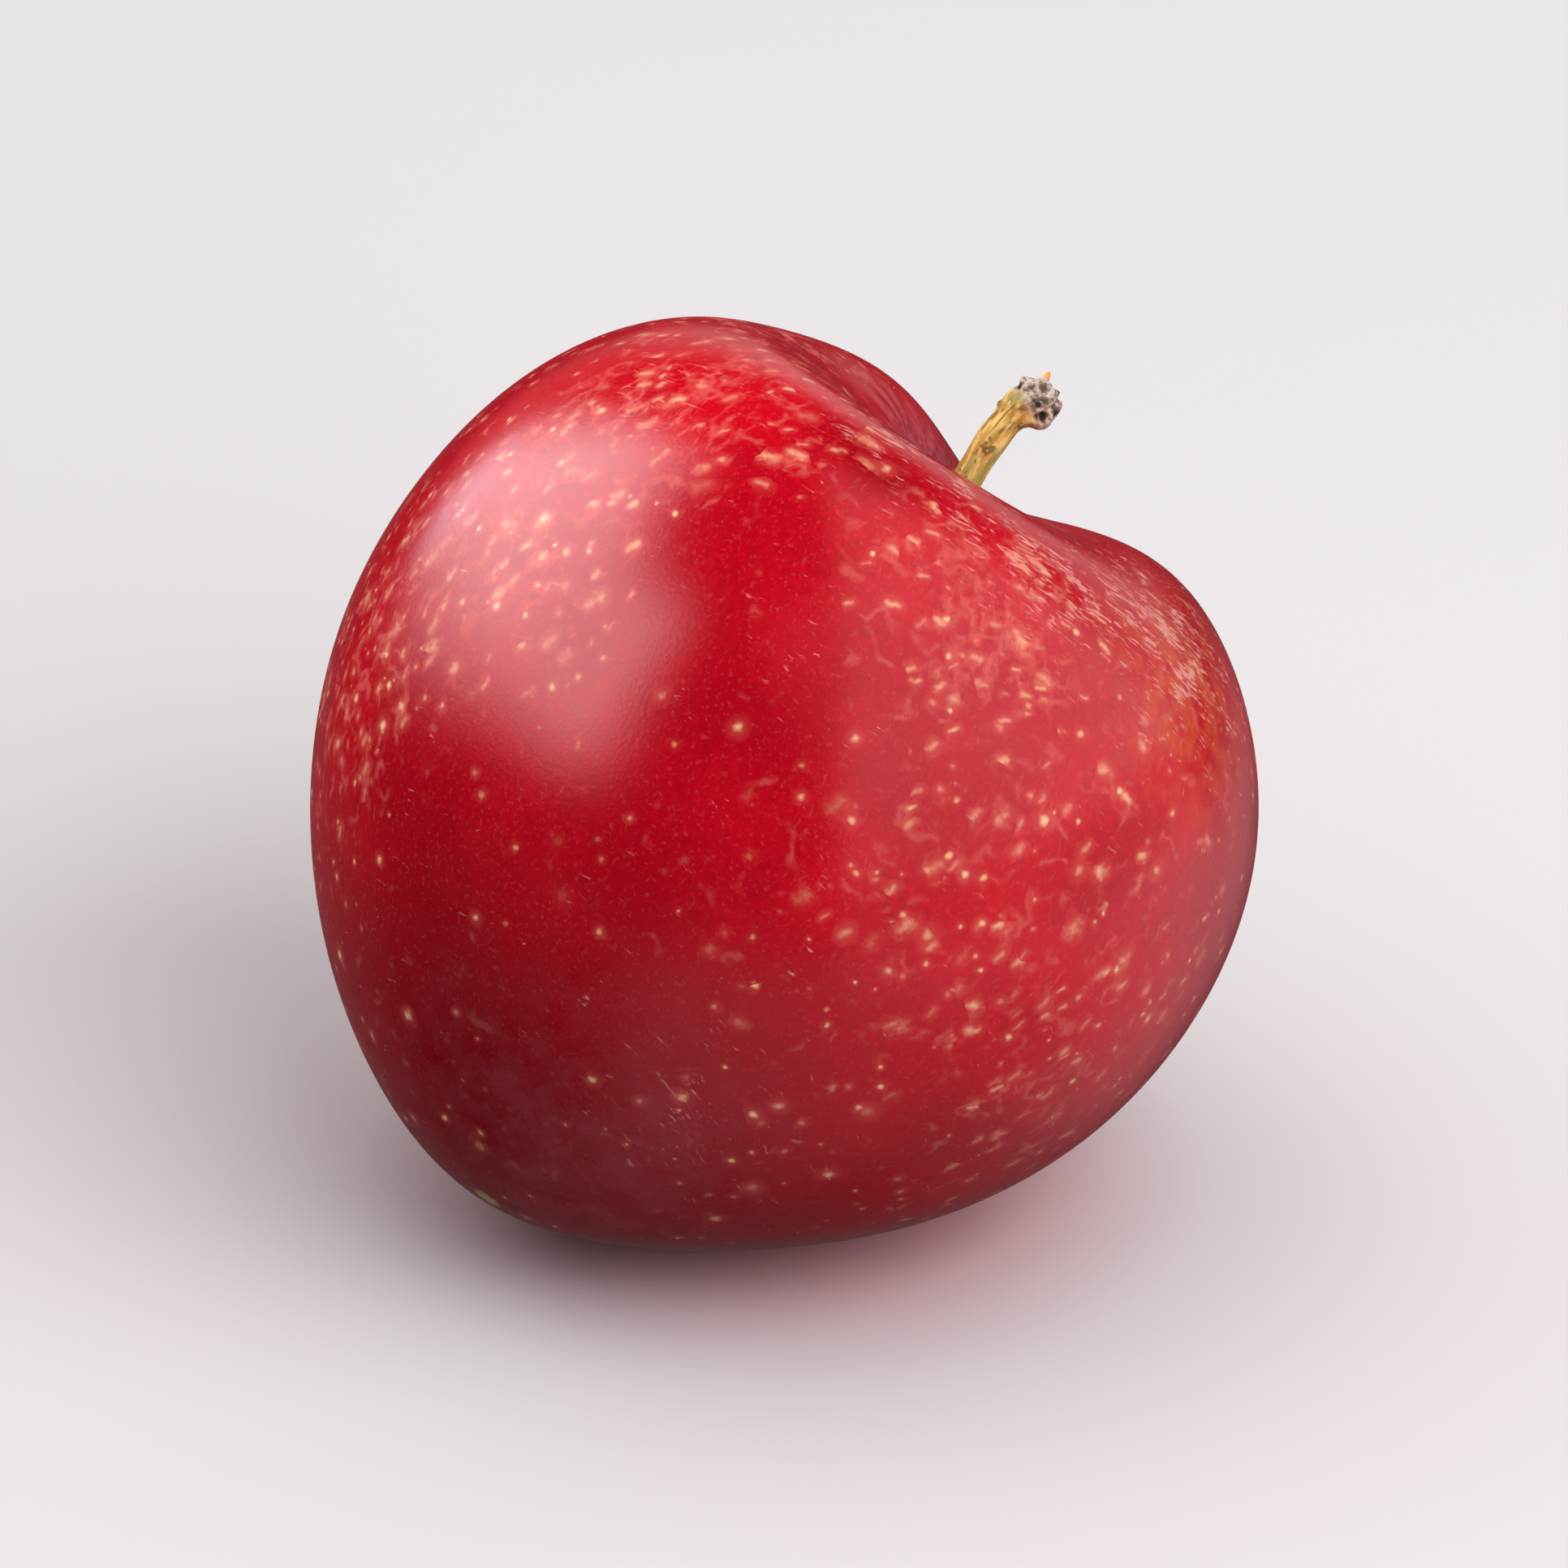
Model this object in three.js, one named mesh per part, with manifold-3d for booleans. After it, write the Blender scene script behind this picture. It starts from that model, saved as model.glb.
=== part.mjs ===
// A ripe round plum, lying on its side, with the short woody stalk it was picked with.
//
// Lengths are in millimetres, angles in degrees. The fruit is shaped upright, with the line from its
// blossom tip to its stem cavity along +Z, and is then laid over until it rests on a small flat spot.
// Once it is laid, +Z is up and +Y runs away from someone who looks at its finest side.

import * as THREE from "three";
import { mergeVertices } from "three/addons/utils/BufferGeometryUtils.js";
import Module from "manifold-3d";

// ---- Flesh: how far the skin stands from the core, before the stem cavity is pressed in ----
const MEAN_RADIUS = 26.95;
const SKIN_WAVES = [
  { waves: 2, height: -0.74 }, // squat: shorter from stem to tip than across
  { waves: 3, height: -1.36 }, // fuller towards the stem, narrower towards the tip
  { waves: 4, height: -0.3 }, // rounder shoulders
  { waves: 5, height: -0.27 }, // a flatter crown round the cavity
];
const CHEEK_LEAN = -0.23; // one cheek is fuller low down, the other high up
const CHEEK_FLATTENING = 1.0; // thinner through the suture than across the cheeks
const TIP = { rise: 0.8, spread: 17, offAxis: 4.3 };

// ---- Stem cavity: a wide bowl with a narrow pit in it, between two raised shoulders ----
const CAVITY_CENTRE = { x: -1.6, y: -1.5 };
const CAVITY_BOWL = { depth: 2.55, radius: 9.7 };
const CAVITY_PIT = { depth: 3.7, radius: 3.4 };
const SHOULDERS = { height: 1.7, radius: 10.7, slopeX: -0.3, slopeY: 1.6 };
const CROWN_FADE = 0.5; // cosine of the angle from the stem axis where the cavity starts to fade out

// ---- Suture: the shallow seam that runs from the cavity to the tip down one side ----
const SUTURE = { turn: 90, depth: 0.4, halfWidth: 2.0 };
const SUTURE_STEM_END = { from: 14, to: 30 };
const SUTURE_TIP_END = { from: 140, to: 172 };

// ---- How the plum lies ----
const LAID = { roll: -73, lean: 52.6, heading: 39.1 };
const REST_DEPTH = 0.3; // how much of the underside is pressed flat

// ---- Stalk: stations from its foot to its broken end, measured from the cavity's floor ----
const STALK_STATIONS = [
  { at: [0, 0, -0.5], radius: 0.98 },
  { at: [0, 0, 1.2], radius: 0.94 },
  { at: [-0.18, -0.1, 3.2], radius: 0.88 },
  { at: [-0.42, -0.2, 5.2], radius: 0.84 },
  { at: [-0.56, -0.28, 6.9], radius: 0.92 }, // the node where a bud scale once sat
  { at: [-0.54, -0.28, 8.2], radius: 0.88 },
  { at: [-0.42, -0.2, 9.1], radius: 1.15 },
  { at: [-0.18, -0.06, 9.8], radius: 1.45 }, // the corky head
  { at: [0.06, 0.06, 10.5], radius: 1.45 },
  { at: [0.2, 0.15, 11.1], radius: 1.15 },
];
const STALK_RIDGES = { count: 5, height: 0.07, twist: 60 };
const HEAD_KNOBS = { count: 7, height: 0.11, from: 0.66, to: 0.8 };
const HEAD_DISH = 0.35; // how deep the broken end is hollowed
const SOCKET = { clearance: 0.3, depth: 0.8, headroom: 1.5 };

// ---- Fineness ----
const FRUIT_SEGMENTS = 72;
const FRUIT_RINGS = 54;
const RING_CROWDING = 1.25; // rings lie closer together towards the stem
const SUTURE_CROWDING = 0.35; // segments lie closer together beside the suture
const STALK_SIDES = 14;
const STALK_RINGS = 27;
const SOCKET_SIDES = 24;
const WELD = 1e-4;

const { clamp, degToRad, smoothstep } = THREE.MathUtils;

const manifold = await Module();
manifold.setup();

/** A smooth hump: 1 where distance is 0, and almost nothing past 2. */
function bell(distance) {
  return Math.exp(-distance * distance);
}

/** The unit direction at an angle from +Z and a turn about it, both in radians. */
function directionAt(polar, turn) {
  const across = Math.sin(polar);
  return new THREE.Vector3(across * Math.cos(turn), across * Math.sin(turn), Math.cos(polar));
}

/** Moves every vertex of a geometry to where place(vertex) says. */
function reshape(geometry, place) {
  const position = geometry.attributes.position;
  for (let i = 0; i < position.count; i += 1) {
    const moved = place(new THREE.Vector3().fromBufferAttribute(position, i));
    position.setXYZ(i, moved.x, moved.y, moved.z);
  }
  return geometry;
}

/** A closed geometry as a solid that can be joined and cut. */
function toSolid(geometry) {
  const bare = geometry.clone();
  bare.deleteAttribute("normal");
  bare.deleteAttribute("uv");
  const welded = mergeVertices(bare, WELD);
  return new manifold.Manifold(new manifold.Mesh({
    numProp: 3,
    vertProperties: new Float32Array(welded.attributes.position.array),
    triVerts: new Uint32Array(welded.index.array),
  }));
}

/** A joined or cut solid as a geometry. */
function toGeometry(solid) {
  const mesh = solid.getMesh();
  const geometry = new THREE.BufferGeometry();
  geometry.setAttribute("position", new THREE.BufferAttribute(mesh.vertProperties, 3));
  geometry.setIndex(new THREE.BufferAttribute(mesh.triVerts, 1));
  geometry.computeVertexNormals();
  return geometry;
}

/** How deep the suture is in a direction from the core. */
function sutureDepth(polar, turn) {
  const beside = turn - degToRad(SUTURE.turn);
  const distance = MEAN_RADIUS * Math.sin(polar) * Math.atan2(Math.sin(beside), Math.cos(beside));
  const stemEnd = smoothstep(polar, degToRad(SUTURE_STEM_END.from), degToRad(SUTURE_STEM_END.to));
  const tipEnd = smoothstep(polar, degToRad(SUTURE_TIP_END.from), degToRad(SUTURE_TIP_END.to));
  return SUTURE.depth * bell(distance / SUTURE.halfWidth) * stemEnd * (1 - tipEnd);
}

/** How far the cavity and its shoulders lift a point of the crown; below zero where they sink it. */
function cavityLift(point, turn) {
  const fromStalk = Math.hypot(point.x - CAVITY_CENTRE.x, point.y - CAVITY_CENTRE.y);
  const bowl = CAVITY_BOWL.depth * bell(fromStalk / CAVITY_BOWL.radius);
  const pit = CAVITY_PIT.depth * bell(fromStalk / CAVITY_PIT.radius);
  const outward = Math.hypot(point.x, point.y) / SHOULDERS.radius;
  const rim = outward * outward * Math.exp(1 - outward * outward);
  const saddle = SHOULDERS.height * Math.cos(2 * turn);
  const slope = outward * (SHOULDERS.slopeX * Math.cos(turn) + SHOULDERS.slopeY * Math.sin(turn));
  return rim * (saddle + slope) - bowl - pit;
}

/** The point of the skin that lies in a unit direction from the core. */
function skinPoint(direction) {
  const polar = Math.acos(clamp(direction.z, -1, 1));
  const turn = Math.atan2(direction.y, direction.x);
  const tip = directionAt(Math.PI - degToRad(TIP.offAxis), 0);

  let radius = MEAN_RADIUS;
  for (const { waves, height } of SKIN_WAVES) {
    radius += height * Math.cos(waves * polar);
  }
  radius += CHEEK_LEAN * Math.cos(turn) * Math.sin(3 * polar);
  radius -= CHEEK_FLATTENING * direction.y ** 2;
  radius += TIP.rise * bell(tip.angleTo(direction) / degToRad(TIP.spread));
  radius -= sutureDepth(polar, turn);

  const point = direction.clone().multiplyScalar(radius);
  point.z += smoothstep(direction.z, 0, CROWN_FADE) * cavityLift(point, turn);
  return point;
}

/** The fruit upright and whole: a sphere whose vertices are sent out to the skin. */
function fleshGeometry() {
  const sphere = new THREE.SphereGeometry(1, FRUIT_SEGMENTS, FRUIT_RINGS).rotateX(Math.PI / 2);
  return reshape(sphere, (vertex) => {
    const ring = Math.acos(clamp(vertex.z, -1, 1)) / Math.PI;
    const beside = Math.atan2(vertex.y, vertex.x);
    const turn = degToRad(SUTURE.turn) + beside - SUTURE_CROWDING * Math.sin(beside);
    return skinPoint(directionAt(Math.PI * ring ** RING_CROWDING, turn));
  });
}

/** Where the stalk grows out: the lowest point of the cavity. */
function cavityFloor() {
  const poleRadius = skinPoint(new THREE.Vector3(0, 0, 1)).z + CAVITY_BOWL.depth + CAVITY_PIT.depth;
  const direction = new THREE.Vector3(CAVITY_CENTRE.x, CAVITY_CENTRE.y, poleRadius).normalize();
  return skinPoint(direction);
}

/** The plain round hole in the cavity's floor that the stalk's foot stands in. */
function socketGeometry(floor) {
  const radius = STALK_STATIONS[0].radius * (1 + STALK_RIDGES.height) + SOCKET.clearance;
  const length = SOCKET.depth + SOCKET.headroom;
  const socket = new THREE.CylinderGeometry(radius, radius, length, SOCKET_SIDES).rotateX(Math.PI / 2);
  return socket.translate(floor.x, floor.y, floor.z + length / 2 - SOCKET.depth);
}

/** The fruit with its socket cut and its underside pressed flat where it touches the ground. */
function fruitGeometry(floor, up) {
  const flesh = fleshGeometry();
  const vertex = new THREE.Vector3();
  let lowest = Infinity;
  for (let i = 0; i < flesh.attributes.position.count; i += 1) {
    lowest = Math.min(lowest, vertex.fromBufferAttribute(flesh.attributes.position, i).dot(up));
  }
  const whole = toSolid(flesh).subtract(toSolid(socketGeometry(floor)));
  return toGeometry(whole.trimByPlane(up.toArray(), lowest + REST_DEPTH));
}

/** The stalk: a ridged tube through its stations, ending in a knobbly, hollowed head. */
function stalkGeometry(floor) {
  const middles = STALK_STATIONS.map(({ at }) => new THREE.Vector3(...at).add(floor));
  const radii = STALK_STATIONS.map(({ radius }) => new THREE.Vector3(radius, 0, 0));
  const line = new THREE.CatmullRomCurve3(middles);
  const thickness = new THREE.CatmullRomCurve3(radii);
  const twist = degToRad(STALK_RIDGES.twist);
  const tube = new THREE.CylinderGeometry(1, 1, 1, STALK_SIDES, STALK_RINGS).rotateX(Math.PI / 2);
  return reshape(tube, (vertex) => {
    const along = clamp(vertex.z + 0.5, 0, 1);
    const turn = Math.atan2(vertex.y, vertex.x);
    const head = smoothstep(along, HEAD_KNOBS.from, HEAD_KNOBS.to);
    const ridges = STALK_RIDGES.height * Math.cos(STALK_RIDGES.count * turn + twist * along);
    const knobs = HEAD_KNOBS.height * Math.cos(HEAD_KNOBS.count * turn);
    const spread = thickness.getPoint(along).x * (1 + ridges * (1 - head) + knobs * head);

    const tangent = line.getTangent(along);
    const side = new THREE.Vector3(0, 1, 0).cross(tangent).normalize();
    const front = tangent.clone().cross(side);
    const point = line.getPoint(along);
    point.addScaledVector(side, vertex.x * spread).addScaledVector(front, vertex.y * spread);
    const inside = 1 - Math.min(1, Math.hypot(vertex.x, vertex.y));
    return point.addScaledVector(tangent, -HEAD_DISH * inside * head);
  });
}

const fruitSkin = new THREE.MeshStandardMaterial({ color: 0xae1226, roughness: 0.34, metalness: 0 });
const stalkBark = new THREE.MeshStandardMaterial({ color: 0x9a7a42, roughness: 0.85, metalness: 0 });

const rolled = new THREE.Group();
rolled.rotation.z = degToRad(LAID.roll);
const leaning = new THREE.Group();
leaning.rotation.y = degToRad(LAID.lean);
leaning.add(rolled);
const plum = new THREE.Group();
plum.rotation.z = degToRad(LAID.heading);
plum.add(leaning);
plum.updateMatrixWorld(true);

const up = new THREE.Vector3(0, 0, 1).transformDirection(rolled.matrixWorld.clone().invert());
const floor = cavityFloor();

const fruit = new THREE.Mesh(fruitGeometry(floor, up), fruitSkin);
fruit.name = "fruit";
const stem = new THREE.Mesh(stalkGeometry(floor), stalkBark);
stem.name = "stem";
rolled.add(fruit, stem);

// The origin is under the middle of the plum, on the ground
const bounds = new THREE.Box3().setFromObject(plum, true);
const middle = bounds.getCenter(new THREE.Vector3());
plum.position.set(-middle.x, -middle.y, -bounds.min.z);

export default plum;
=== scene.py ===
"""A ripe round plum lying on its side, with the short woody stalk it was picked with.

Lengths are in millimetres and angles in degrees until a piece is laid in the frame, which is in metres.
The fruit is shaped upright, with the line from its blossom tip to its stem cavity along +Z. A place on
its skin is given by its polar angle, counted from the stem, and by its turn about that line. Fruit and
stalk are then laid over together and set into the boxes of the frame's nodes.
"""

import logging
import math
from dataclasses import dataclass
from enum import Enum, auto
from functools import cached_property, reduce
from operator import add
from typing import Any, Mapping, Sequence

import bmesh
import bpy
from mathutils import Matrix, Vector, noise

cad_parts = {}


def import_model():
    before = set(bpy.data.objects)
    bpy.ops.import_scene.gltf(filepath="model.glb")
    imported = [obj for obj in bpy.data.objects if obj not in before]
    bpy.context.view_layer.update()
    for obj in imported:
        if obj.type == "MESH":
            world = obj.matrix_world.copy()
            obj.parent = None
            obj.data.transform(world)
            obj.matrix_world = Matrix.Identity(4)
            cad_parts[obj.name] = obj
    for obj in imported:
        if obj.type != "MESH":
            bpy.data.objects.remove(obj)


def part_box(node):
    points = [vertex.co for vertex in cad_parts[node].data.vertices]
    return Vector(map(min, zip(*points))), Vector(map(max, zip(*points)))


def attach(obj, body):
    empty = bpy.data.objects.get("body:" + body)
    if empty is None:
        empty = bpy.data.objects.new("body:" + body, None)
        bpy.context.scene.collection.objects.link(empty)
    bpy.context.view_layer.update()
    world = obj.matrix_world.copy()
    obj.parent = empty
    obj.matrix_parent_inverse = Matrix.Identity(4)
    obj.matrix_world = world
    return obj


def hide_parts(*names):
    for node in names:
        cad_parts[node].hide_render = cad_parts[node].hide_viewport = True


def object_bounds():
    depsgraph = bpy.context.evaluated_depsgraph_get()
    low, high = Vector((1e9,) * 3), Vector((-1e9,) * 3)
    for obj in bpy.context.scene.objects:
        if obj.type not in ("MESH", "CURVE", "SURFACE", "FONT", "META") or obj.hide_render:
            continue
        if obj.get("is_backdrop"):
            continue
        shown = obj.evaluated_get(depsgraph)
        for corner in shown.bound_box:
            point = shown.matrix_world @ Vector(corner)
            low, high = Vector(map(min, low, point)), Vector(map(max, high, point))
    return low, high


LOG = logging.getLogger("plum")
MILLIMETRE = 0.001
STEM_AXIS = Vector((0.0, 0.0, 1.0))

Colour = tuple[float, float, float]


def bell(distance: float) -> float:
    """A smooth hump: 1 where distance is 0, and almost nothing past 2."""
    return math.exp(-distance * distance)


def fade(value: float, start: float, end: float) -> float:
    """Runs smoothly from 0 at start to 1 at end."""
    share = min(1.0, max(0.0, (value - start) / (end - start)))
    return share * share * (3.0 - 2.0 * share)


def direction_at(polar: float, turn: float) -> Vector:
    """The unit direction at a polar angle and a turn, both in degrees."""
    across = math.sin(math.radians(polar))
    along = math.radians(turn)
    return Vector((across * math.cos(along), across * math.sin(along), math.cos(math.radians(polar))))


def level_direction(turn: float) -> Vector:
    """The unit direction square to the stem axis at a turn in radians."""
    return Vector((math.cos(turn), math.sin(turn), 0.0))


def polar_of(direction: Vector) -> float:
    """The angle in degrees between a unit direction and the stem axis."""
    return math.degrees(math.acos(min(1.0, max(-1.0, direction.z))))


def turn_of(place: Vector) -> float:
    """The turn in degrees of a place about the stem axis."""
    return math.degrees(math.atan2(place.y, place.x))


def wrapped(angle: float) -> float:
    """An angle in degrees brought between -180 and 180."""
    return (angle + 180.0) % 360.0 - 180.0


# ---- Form ----


@dataclass(frozen=True)
class Wave:
    """One cosine wave of the skin's radius from stem to tip."""

    waves: int
    height: float


@dataclass(frozen=True)
class Hollow:
    """A round dip with soft edges."""

    depth: float
    radius: float


@dataclass(frozen=True)
class FruitForm:
    """The shape of the plum, upright."""

    mean_radius: float = 26.95
    skin_waves: tuple[Wave, ...] = (Wave(2, -0.74), Wave(3, -1.36), Wave(4, -0.3), Wave(5, -0.27))
    cheek_lean: float = -0.23
    cheek_waves: int = 3
    cheek_flattening: float = 1.0
    tip_rise: float = 0.8
    tip_spread: float = 17.0
    tip_off_axis: float = 4.3
    cavity_x: float = -1.6
    cavity_y: float = -1.5
    bowl: Hollow = Hollow(2.55, 9.7)
    pit: Hollow = Hollow(3.7, 3.4)
    shoulder_height: float = 1.7
    shoulder_radius: float = 10.7
    shoulder_slope_x: float = -0.3
    shoulder_slope_y: float = 1.6
    crown_fade: float = 0.5
    suture_turn: float = 90.0
    suture: Hollow = Hollow(0.4, 2.0)
    suture_stem_end: tuple[float, float] = (14.0, 30.0)
    suture_tip_end: tuple[float, float] = (140.0, 172.0)

    def tip(self) -> Vector:
        """The direction of the blossom tip."""
        return direction_at(180.0 - self.tip_off_axis, 0.0)

    def suture_share(self, polar: float, turn: float) -> float:
        """How much of the suture's full depth there is at a place, from 0 to 1."""
        reach = self.mean_radius * math.sin(math.radians(polar))
        beside = reach * math.radians(wrapped(turn - self.suture_turn))
        ends = fade(polar, *self.suture_stem_end) * (1.0 - fade(polar, *self.suture_tip_end))
        return bell(beside / self.suture.radius) * ends

    def from_stalk(self, point: Vector) -> float:
        """How far a point of the crown is from the line of the stalk."""
        return math.hypot(point.x - self.cavity_x, point.y - self.cavity_y)

    def cavity_lift(self, point: Vector) -> float:
        """How far the cavity and its shoulders lift a point of the crown.

        Args:
            point: The point before the cavity is pressed in.

        Returns:
            The lift along the stem axis; below zero where the point sinks.
        """
        away = self.from_stalk(point)
        hollow = sum(dip.depth * bell(away / dip.radius) for dip in (self.bowl, self.pit))
        turn = math.radians(turn_of(point))
        outward = math.hypot(point.x, point.y) / self.shoulder_radius
        rim = outward * outward * math.exp(1.0 - outward * outward)
        saddle = self.shoulder_height * math.cos(2.0 * turn)
        slope = self.shoulder_slope_x * math.cos(turn) + self.shoulder_slope_y * math.sin(turn)
        return rim * (saddle + outward * slope) - hollow

    def skin_point(self, direction: Vector) -> Vector:
        """The point of the skin that lies in a unit direction from the core."""
        polar, turn = polar_of(direction), turn_of(direction)
        arc, across = math.radians(polar), math.radians(turn)
        radius = self.mean_radius
        radius += sum(wave.height * math.cos(wave.waves * arc) for wave in self.skin_waves)
        radius += self.cheek_lean * math.cos(across) * math.sin(self.cheek_waves * arc)
        radius -= self.cheek_flattening * direction.y**2
        radius += self.tip_rise * bell(math.degrees(self.tip().angle(direction)) / self.tip_spread)
        radius -= self.suture.depth * self.suture_share(polar, turn)
        point = direction * radius
        point.z += fade(direction.z, 0.0, self.crown_fade) * self.cavity_lift(point)
        return point

    def cavity_floor(self) -> Vector:
        """Where the stalk grows out: the lowest point of the cavity."""
        crown = self.skin_point(STEM_AXIS).z + self.bowl.depth + self.pit.depth
        return self.skin_point(Vector((self.cavity_x, self.cavity_y, crown)).normalized())


@dataclass(frozen=True)
class Lay:
    """How the upright plum is turned over and set down in the frame."""

    roll: float = -73.0
    lean: float = 52.6
    heading: float = 39.1

    def turned(self) -> Matrix:
        """The rotation from the upright plum to the laid one."""
        roll = Matrix.Rotation(math.radians(self.roll), 4, "Z")
        lean = Matrix.Rotation(math.radians(self.lean), 4, "Y")
        return Matrix.Rotation(math.radians(self.heading), 4, "Z") @ lean @ roll

    def placing(self, form: FruitForm, probe_steps: int = 120) -> Matrix:
        """The whole move from the upright plum in millimetres to the frame in metres.

        Args:
            form: The plum's form.
            probe_steps: How many directions each way are tried to find how far the fruit reaches.

        Returns:
            A matrix that turns, shrinks to metres and puts the fruit in its node's box.
        """
        turned = self.turned()
        polars = [180.0 * (step + 0.5) / probe_steps for step in range(probe_steps)]
        turns = [360.0 * step / probe_steps for step in range(probe_steps)]
        probes = [turned @ form.skin_point(direction_at(polar, turn)) for polar in polars for turn in turns]
        low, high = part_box("fruit")
        middle = (low + high) / 2.0
        place = Vector((0.0, 0.0, high.z - MILLIMETRE * max(p.z for p in probes)))
        for axis in (0, 1):
            reach = [p[axis] for p in probes]
            place[axis] = middle[axis] - MILLIMETRE * (min(reach) + max(reach)) / 2.0
        return Matrix.Translation(place) @ Matrix.Scale(MILLIMETRE, 4) @ turned


@dataclass(frozen=True)
class Patch:
    """A round area of the skin where something is stronger, or weaker if its strength is below 0."""

    polar: float
    turn: float
    spread: float
    strength: float

    @cached_property
    def middle(self) -> Vector:
        """The direction of the patch's middle from the core."""
        return direction_at(self.polar, self.turn)

    def at(self, direction: Vector) -> float:
        """How strong the patch is in a direction from the core."""
        away = (direction - self.middle).length
        return self.strength * bell(away / math.radians(self.spread))


def patched(patches: Sequence[Patch], direction: Vector, ground: float = 0.0) -> float:
    """A level between 0 and 1: the ground level with every patch added."""
    return min(1.0, max(0.0, ground + sum(patch.at(direction) for patch in patches)))


# ---- Shader maths ----

# The numbers of the Mix node's colour sockets, which come after its plain and its vector ones.
MIX_FIRST, MIX_SECOND, MIX_RESULT = 6, 7, 2


@dataclass(frozen=True)
class Grain:
    """A soft random pattern with features of about a size, and the levels between which it shows."""

    size: float
    detail: float = 2.0
    roughness: float = 0.5
    shift: float = 0.0
    edge: tuple[float, float] = (0.0, 1.0)
    share: float = 1.0


@dataclass(frozen=True)
class Signal:
    """An output socket that Python's operators work on."""

    recipe: "Recipe"
    socket: bpy.types.NodeSocket

    def _math(self, operation: str, *terms: Any) -> "Signal":
        """One Math node, or a Vector Math node where this signal is a vector or a colour."""
        vector = self.socket.type in {"VECTOR", "RGBA"}
        kind = "ShaderNodeVectorMath" if vector else "ShaderNodeMath"
        return self.recipe.signal(kind, {"operation": operation}, dict(enumerate(terms)))

    def __add__(self, other: Any) -> "Signal":
        return self._math("ADD", self, other)

    def __radd__(self, other: Any) -> "Signal":
        return self._math("ADD", other, self)

    def __sub__(self, other: Any) -> "Signal":
        return self._math("SUBTRACT", self, other)

    def __rsub__(self, other: Any) -> "Signal":
        return self._math("SUBTRACT", other, self)

    def __mul__(self, other: Any) -> "Signal":
        return self._math("MULTIPLY", self, other)

    def __rmul__(self, other: Any) -> "Signal":
        return self._math("MULTIPLY", other, self)

    def __truediv__(self, other: Any) -> "Signal":
        return self._math("DIVIDE", self, other)

    def __neg__(self) -> "Signal":
        return self._math("MULTIPLY", self, -1.0)

    def __abs__(self) -> "Signal":
        return self._math("ABSOLUTE", self)

    def least(self, other: Any) -> "Signal":
        """The smaller of two signals."""
        return self._math("MINIMUM", self, other)

    def most(self, other: Any) -> "Signal":
        """The larger of two signals."""
        return self._math("MAXIMUM", self, other)

    def dot(self, other: "Signal") -> "Signal":
        """The dot product of two vectors."""
        settings = {"operation": "DOT_PRODUCT"}
        return self.recipe.signal("ShaderNodeVectorMath", settings, {0: self, 1: other}, "Value")

    def length(self) -> "Signal":
        """How long a vector is."""
        return self.recipe.signal("ShaderNodeVectorMath", {"operation": "LENGTH"}, {0: self}, "Value")

    def unit(self) -> "Signal":
        """A vector brought to length 1."""
        return self._math("NORMALIZE", self)

    def rise(self, start: Any, end: Any) -> "Signal":
        """Runs smoothly from 0 at start to 1 at end, where end is above start."""
        inputs = {"Value": self, "From Min": start, "From Max": end}
        return self.recipe.signal("ShaderNodeMapRange", {"interpolation_type": "SMOOTHSTEP"}, inputs)

    def shown(self, grain: Grain) -> "Signal":
        """How strongly a grain shows where its noise is this signal."""
        level = self.rise(*grain.edge)
        return level if grain.share == 1.0 else level * grain.share

    def parts(self) -> tuple["Signal", "Signal", "Signal"]:
        """The three components of a vector or a colour."""
        split = self.recipe.node("ShaderNodeSeparateXYZ", {}, {0: self})
        x, y, z = (Signal(self.recipe, output) for output in split.outputs)
        return x, y, z


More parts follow.
